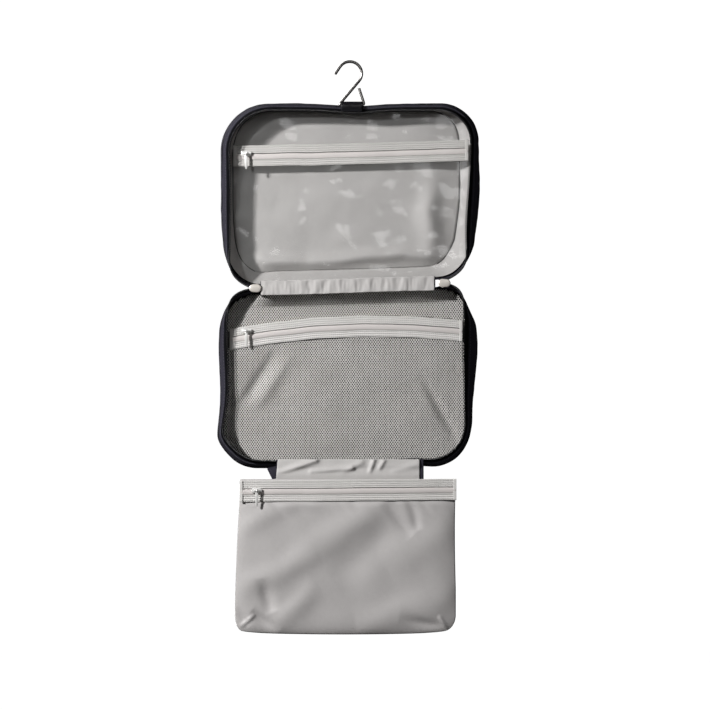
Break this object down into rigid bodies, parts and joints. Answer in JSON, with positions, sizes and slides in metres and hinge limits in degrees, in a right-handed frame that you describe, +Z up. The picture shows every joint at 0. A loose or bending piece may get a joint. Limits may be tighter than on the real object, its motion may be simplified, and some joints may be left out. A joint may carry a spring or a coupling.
{
  "type": "hanging toiletry bag",
  "caption": "Hanging toiletry bag that unfolds into a clear-front shell, a mesh-front shell and a flat zip pouch below a swivelling wire hook.",
  "frame": {"origin": "inner crown of the wire hook, where it hangs on a rail", "axes": "+Z up, the open side with the pockets faces -Y, +X to the right seen from the front"},
  "size_m": [0.258, 0.0588, 0.5755],
  "materials": {
    "hook_wire": "dark polished chrome",
    "black_webbing": "woven webbing",
    "clear_film": "clear soft film",
    "grey_mesh": "open knitted mesh",
    "zip_metal_warm": "warm satin plating",
    "zip_metal": "satin plating",
    "foam": "soft foam",
    "navy_fabric": "fine woven, slightly glossy",
    "black_tape": "ribbed zip tape",
    "black_coil": "nylon coil",
    "grey_coil": "nylon coil",
    "grey_tape": "ribbed zip tape",
    "pouch_fabric": "smooth light lining cloth",
    "grey_lining": "fine woven lining"
  },
  "bodies": {
    "hook": {"hanger_hook": "hook_wire"},
    "upper_shell": {"hook_loop": "black_webbing", "upper_back_lining": "grey_lining", "upper_foam": "foam", "upper_gusset": "navy_fabric", "upper_gusset_lining": "grey_lining", "upper_hinge_fabric": "navy_fabric", "upper_hinge_lining": "grey_lining", "upper_outer_panel": "navy_fabric", "upper_seam_binding": "black_tape", "upper_zip_coil": "black_coil", "upper_zip_tape": "black_tape", "clear_coil": "grey_coil", "clear_sheet_far": "clear_film", "clear_sheet_near": "clear_film", "clear_zip_ends": "grey_tape", "clear_zip_tape_far": "grey_tape", "clear_zip_tape_near": "grey_tape"},
    "front_shell": {"front_back_lining": "grey_lining", "front_foam": "foam", "front_gusset": "navy_fabric", "front_gusset_lining": "grey_lining", "front_hinge_fabric": "navy_fabric", "front_hinge_lining": "grey_lining", "front_outer_panel": "navy_fabric", "front_seam_binding": "black_tape", "front_zip_coil": "black_coil", "front_zip_tape": "black_tape", "mesh_coil": "grey_coil", "mesh_sheet_far": "grey_mesh", "mesh_sheet_near": "grey_mesh", "mesh_zip_ends": "grey_tape", "mesh_zip_tape_far": "grey_tape", "mesh_zip_tape_near": "grey_tape", "flap_lining_root": "grey_lining", "flap_backing_root": "navy_fabric"},
    "pouch": {"pouch_back": "pouch_fabric", "pouch_coil": "grey_coil", "pouch_front": "pouch_fabric", "pouch_zip_ends": "grey_tape", "pouch_zip_tape_far": "grey_tape", "pouch_zip_tape_near": "grey_tape", "flap_lining_free": "grey_lining", "flap_backing_free": "navy_fabric"},
    "clear_slider": {"clear_slider": "zip_metal"},
    "clear_puller": {"clear_puller": "zip_metal"},
    "mesh_slider": {"mesh_slider": "zip_metal"},
    "mesh_puller": {"mesh_puller": "zip_metal"},
    "pouch_slider": {"pouch_slider": "zip_metal"},
    "pouch_puller": {"pouch_puller": "zip_metal"},
    "main_slider_left": {"main_slider_left": "zip_metal_warm"},
    "main_puller_left": {"main_puller_left": "zip_metal_warm"},
    "main_slider_right": {"main_slider_right": "zip_metal_warm"},
    "main_puller_right": {"main_puller_right": "zip_metal_warm"}
  },
  "joints": [
    {"name": "hook_swing", "type": "hinge", "parent": "hook", "child": "upper_shell", "pos_m": [0, 0, -0.0417], "axis": [1, 0, 0], "range_deg": [-90, 90]},
    {"name": "shell_fold", "type": "hinge", "parent": "upper_shell", "child": "front_shell", "pos_m": [0, -0.0311, -0.2257], "axis": [-1, 0, 0], "range_deg": [-10, 180]},
    {"name": "pouch_fold", "type": "hinge", "parent": "front_shell", "child": "pouch", "pos_m": [0, -0.03055, -0.4032], "axis": [-1, 0, 0], "range_deg": [0, 180]},
    {"name": "clear_zip", "type": "slide", "parent": "upper_shell", "child": "clear_slider", "axis": [1, 0, 0], "range_m": [0, 0.208]},
    {"name": "clear_puller_swing", "type": "hinge", "parent": "clear_slider", "child": "clear_puller", "pos_m": [-0.104, -0.0177, -0.0927], "axis": [1, 0, 0], "range_deg": [-150, 0]},
    {"name": "mesh_zip", "type": "slide", "parent": "front_shell", "child": "mesh_slider", "axis": [1, 0, 0], "range_m": [0, 0.208]},
    {"name": "mesh_puller_swing", "type": "hinge", "parent": "mesh_slider", "child": "mesh_puller", "pos_m": [-0.104, -0.0177, -0.2707], "axis": [1, 0, 0], "range_deg": [-150, 0]},
    {"name": "pouch_zip", "type": "slide", "parent": "pouch", "child": "pouch_slider", "axis": [1, 0, 0], "range_m": [0, 0.185]},
    {"name": "pouch_puller_swing", "type": "hinge", "parent": "pouch_slider", "child": "pouch_puller", "pos_m": [-0.0925, -0.0446, -0.4297], "axis": [1, 0, 0], "range_deg": [-150, 0]},
    {"name": "main_slider_left_turn", "type": "hinge", "parent": "upper_shell", "child": "main_slider_left", "pos_m": [-0.093, -0.0311, -0.2257], "axis": [-1, 0, 0], "range_deg": [-10, 95]},
    {"name": "main_puller_left_swing", "type": "hinge", "parent": "main_slider_left", "child": "main_puller_left", "pos_m": [-0.093, -0.0275, -0.2257], "axis": [0, 0, 1], "range_deg": [0, 80]},
    {"name": "main_slider_right_turn", "type": "hinge", "parent": "upper_shell", "child": "main_slider_right", "pos_m": [0.093, -0.0311, -0.2257], "axis": [-1, 0, 0], "range_deg": [-10, 95]},
    {"name": "main_puller_right_swing", "type": "hinge", "parent": "main_slider_right", "child": "main_puller_right", "pos_m": [0.093, -0.0275, -0.2257], "axis": [0, 0, -1], "range_deg": [0, 80]}
  ],
  "couplings": [
    {"joint": "main_slider_left_turn", "follows": "shell_fold", "ratio": 0.5},
    {"joint": "main_slider_right_turn", "follows": "shell_fold", "ratio": 0.5}
  ]
}
